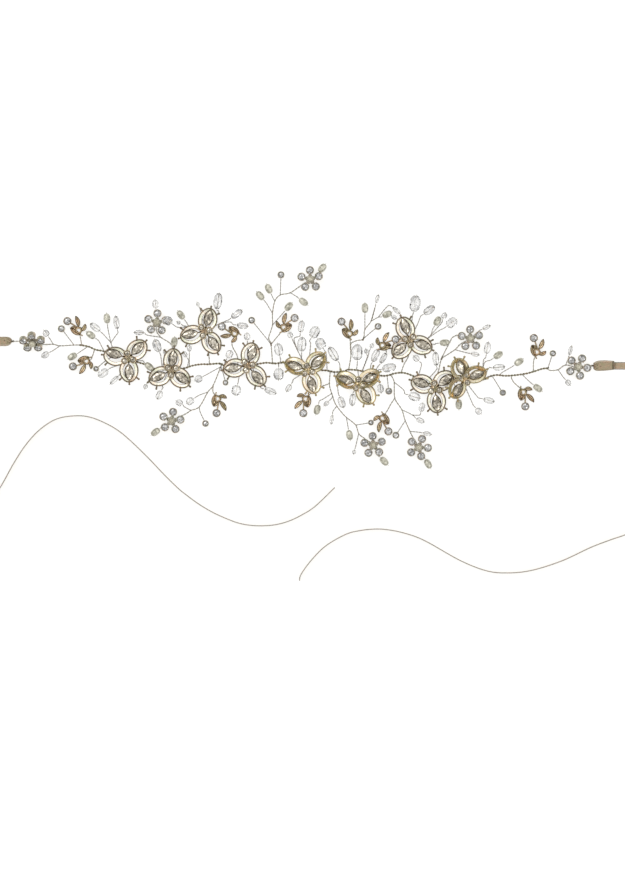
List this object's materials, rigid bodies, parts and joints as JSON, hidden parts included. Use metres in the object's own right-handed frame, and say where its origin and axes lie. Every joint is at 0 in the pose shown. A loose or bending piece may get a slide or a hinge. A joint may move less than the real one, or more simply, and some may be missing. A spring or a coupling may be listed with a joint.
{
  "type": "bridal hair vine headband",
  "caption": "Hair vine worn as a headband: a wire stem with crystal flowers, leaf clusters, pearls and faceted beads, tied on with narrow ribbons.",
  "frame": {"origin": "middle of the footprint of the vine without its ribbons, on the surface that it rests on", "axes": "+X along the stem towards the right ribbon, +Y to the top of the vine, +Z out of its decorated face"},
  "size_m": [0.532, 0.2061, 0.0145],
  "materials": {
    "antique_gold": "antique gold plating, satin",
    "bright_gold": "yellow gold plating, polished",
    "gold_wire": "twisted gold craft wire",
    "rhinestone": "foiled cut glass",
    "crystal": "clear faceted glass",
    "ivory_pearl": "pearl coating",
    "gold_pearl": "pale gold pearl coating",
    "ribbon": "matt woven ribbon"
  },
  "bodies": {
    "root": {"flower_1_setting": "antique_gold", "flower_1_stones": "rhinestone", "flower_2_setting": "antique_gold", "flower_2_stones": "rhinestone", "flower_3_setting": "antique_gold", "flower_3_stones": "rhinestone", "flower_4_setting": "antique_gold", "flower_4_stones": "rhinestone", "flower_5_setting": "bright_gold", "flower_5_stones": "rhinestone", "flower_6_setting": "bright_gold", "flower_6_stones": "rhinestone", "flower_7_setting": "antique_gold", "flower_7_stones": "rhinestone", "flower_8_setting": "antique_gold", "flower_8_stones": "rhinestone", "flower_9_setting": "bright_gold", "flower_9_stones": "rhinestone", "small_flower_1_setting": "antique_gold", "small_flower_1_stones": "rhinestone", "small_flower_2_setting": "antique_gold", "small_flower_2_stones": "rhinestone", "small_flower_3_setting": "antique_gold", "small_flower_3_stones": "rhinestone", "small_flower_4_setting": "antique_gold", "small_flower_4_stones": "rhinestone", "small_flower_5_setting": "antique_gold", "small_flower_5_stones": "rhinestone", "small_flower_6_setting": "antique_gold", "small_flower_6_stones": "rhinestone", "small_flower_7_setting": "antique_gold", "small_flower_7_stones": "rhinestone", "small_flower_8_setting": "antique_gold", "small_flower_8_stones": "rhinestone", "leaf_cluster_1": "antique_gold", "leaf_cluster_2": "antique_gold", "leaf_cluster_3": "antique_gold", "leaf_cluster_4": "antique_gold", "leaf_cluster_5": "antique_gold", "leaf_cluster_6": "antique_gold", "leaf_cluster_7": "antique_gold", "leaf_cluster_8": "antique_gold", "leaf_cluster_9": "antique_gold", "leaf_cluster_10": "antique_gold", "leaf_cluster_11": "antique_gold", "small_flower_pearls": "gold_pearl", "leaf_stones": "rhinestone", "single_cups": "antique_gold", "single_stones": "rhinestone", "rice_pearls": "ivory_pearl", "crystal_beads_left": "crystal", "crystal_beads_right": "crystal", "vine_wire": "gold_wire", "ribbon_fold_left": "ribbon", "ribbon_fold_right": "ribbon", "ribbon_left": "ribbon", "ribbon_right": "ribbon"}
  },
  "joints": []
}
